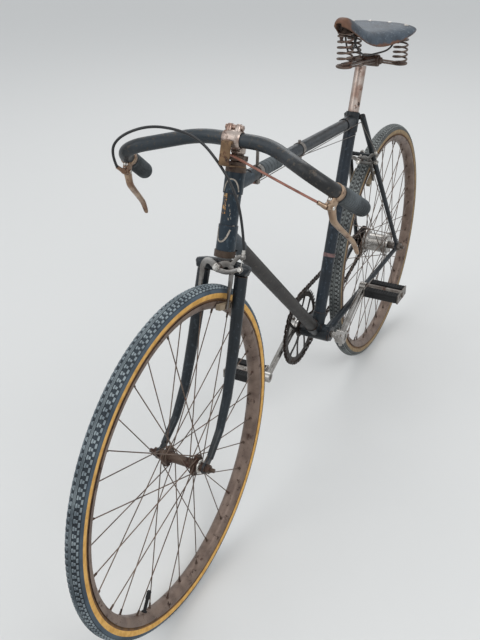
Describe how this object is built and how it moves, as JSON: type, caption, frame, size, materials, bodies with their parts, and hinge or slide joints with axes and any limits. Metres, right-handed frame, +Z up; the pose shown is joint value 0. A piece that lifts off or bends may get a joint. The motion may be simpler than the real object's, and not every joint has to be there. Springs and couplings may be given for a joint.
{
  "type": "racing bicycle",
  "caption": "Lugged steel racing bicycle with swept-forward bar, sprung leather saddle, side-pull brakes, hub gear and block-tread tyres; worn and rusty.",
  "frame": {"origin": "the point of the saddle top where the rider sits, in the middle plane", "axes": "+X forward along the bicycle, +Y to the rider's left, +Z up"},
  "size_m": [1.7399, 0.4755, 0.986],
  "materials": {
    "dark_enamel": "worn gloss",
    "bare_steel": "rusty",
    "rusty_steel": "rust",
    "bright_steel": "polished, pitted",
    "dark_steel": "oily",
    "rim_steel": "rusted",
    "tyre": "dusty",
    "rubber": "matt",
    "leather": "worn",
    "black_cable": "satin",
    "copper_cable": "rust",
    "bar_enamel": "worn satin",
    "hub_steel": "polished",
    "lever_metal": "tarnished"
  },
  "bodies": {
    "frame": {"head_tube": "dark_enamel", "head_lugs": "dark_enamel", "top_tube": "dark_enamel", "down_tube": "dark_enamel", "seat_tube": "dark_enamel", "seat_lug": "dark_enamel", "bottom_bracket_shell": "dark_enamel", "chain_stay_left": "dark_enamel", "chain_stay_right": "dark_enamel", "seat_stay_left": "dark_enamel", "seat_stay_right": "dark_enamel", "stay_bridge": "dark_enamel", "headset_cups": "bare_steel", "seat_post": "rusty_steel", "saddle_frame": "rusty_steel", "saddle_springs": "rusty_steel", "saddle_leather": "leather", "rear_brake_caliper": "bare_steel", "rear_brake_shoes": "rubber", "rear_brake_wires": "bare_steel", "cable_clips": "bare_steel", "rear_axle": "bare_steel", "chain": "dark_steel"},
    "steering": {"fork_crown": "dark_enamel", "fork_blade_left": "dark_enamel", "fork_blade_right": "dark_enamel", "headset_nuts": "bare_steel", "lamp_bracket": "rusty_steel", "stem": "rusty_steel", "handlebar": "bar_enamel", "grip_left": "rubber", "grip_right": "rubber", "brake_lever_left": "lever_metal", "brake_lever_right": "lever_metal", "front_brake_caliper": "bare_steel", "front_brake_shoes": "rubber", "front_brake_cable": "black_cable", "rear_brake_cable": "copper_cable", "front_axle": "bare_steel"},
    "front_wheel": {"front_tyre": "tyre", "front_rim": "rim_steel", "front_spokes": "rusty_steel", "front_hub": "rusty_steel"},
    "rear_wheel": {"rear_tyre": "tyre", "rear_rim": "rim_steel", "rear_spokes": "rusty_steel", "rear_hub": "hub_steel"},
    "crankset": {"chainring": "dark_steel", "crank_left": "bright_steel", "crank_right": "bright_steel", "crank_spindle": "bright_steel"},
    "sprocket": {"sprocket": "dark_steel"},
    "pedal_left": {"pedal_frame_left": "bare_steel", "pedal_rubbers_left": "rubber"},
    "pedal_right": {"pedal_frame_right": "bare_steel", "pedal_rubbers_right": "rubber"}
  },
  "joints": [
    {"name": "steering_turn", "type": "hinge", "parent": "frame", "child": "steering", "pos_m": [0.81723, 0, -0.6344], "axis": [-0.309, 0, 0.9511], "range_deg": [-60, 60], "deforming": ["rear_brake_cable"]},
    {"name": "front_wheel_spin", "type": "hinge", "parent": "steering", "child": "front_wheel", "pos_m": [0.88, 0, -0.614], "axis": [0, 1, 0], "continuous": true},
    {"name": "rear_wheel_spin", "type": "hinge", "parent": "frame", "child": "rear_wheel", "pos_m": [-0.2, 0, -0.614], "axis": [0, 1, 0], "continuous": true},
    {"name": "crank_spin", "type": "hinge", "parent": "frame", "child": "crankset", "pos_m": [0.235, 0, -0.676], "axis": [0, 1, 0], "continuous": true},
    {"name": "sprocket_spin", "type": "hinge", "parent": "frame", "child": "sprocket", "pos_m": [-0.2, 0, -0.614], "axis": [0, 1, 0], "continuous": true},
    {"name": "pedal_left_spin", "type": "hinge", "parent": "crankset", "child": "pedal_left", "pos_m": [0.08357, 0, -0.61047], "axis": [0, 1, 0], "continuous": true},
    {"name": "pedal_right_spin", "type": "hinge", "parent": "crankset", "child": "pedal_right", "pos_m": [0.38643, 0, -0.74153], "axis": [0, 1, 0], "continuous": true}
  ],
  "couplings": [
    {"joint": "sprocket_spin", "follows": "crank_spin", "ratio": 2.5556}
  ]
}
